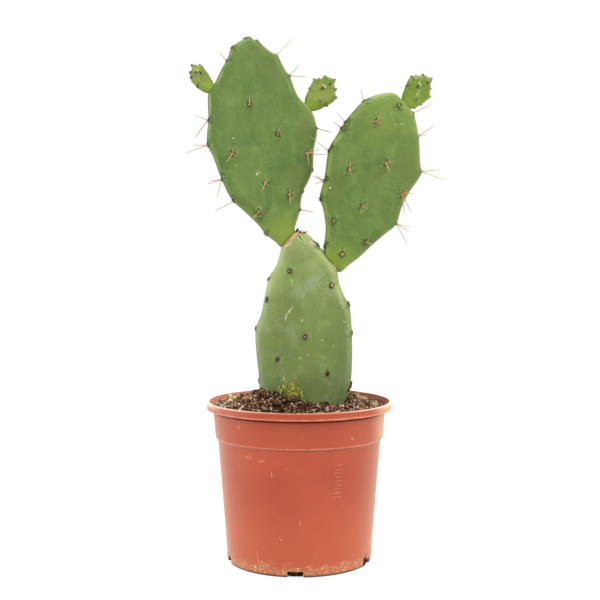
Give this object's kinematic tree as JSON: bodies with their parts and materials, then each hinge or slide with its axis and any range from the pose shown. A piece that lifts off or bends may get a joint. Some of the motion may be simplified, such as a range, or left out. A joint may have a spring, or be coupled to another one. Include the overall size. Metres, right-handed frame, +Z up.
{
  "type": "potted paddle cactus",
  "caption": "Spiny paddle cactus with upright flat pads and small young pads, rooted in soil in a tapered plastic nursery pot.",
  "frame": {"origin": "centre of the pot's foot, on the plane that it stands on", "axes": "+Z up along the pot's axis; -Y towards the front of the plant, which the paddles face; +X to the right as seen from the front"},
  "size_m": [0.2436, 0.17, 0.4833],
  "materials": {
    "pot_plastic": "satin",
    "potting_soil": "matte",
    "lower_skin": "satin",
    "upper_skin": "satin",
    "young_skin": "satin",
    "spine": "satin",
    "areole_wool": "matte",
    "cork": "matte",
    "moss": "matte"
  },
  "bodies": {
    "root": {"pot": "pot_plastic", "soil": "potting_soil", "paddle_lower": "lower_skin", "paddle_left": "upper_skin", "paddle_right": "upper_skin", "young_paddle_left": "young_skin", "young_paddle_middle": "young_skin", "young_paddle_right": "young_skin"}
  },
  "joints": []
}
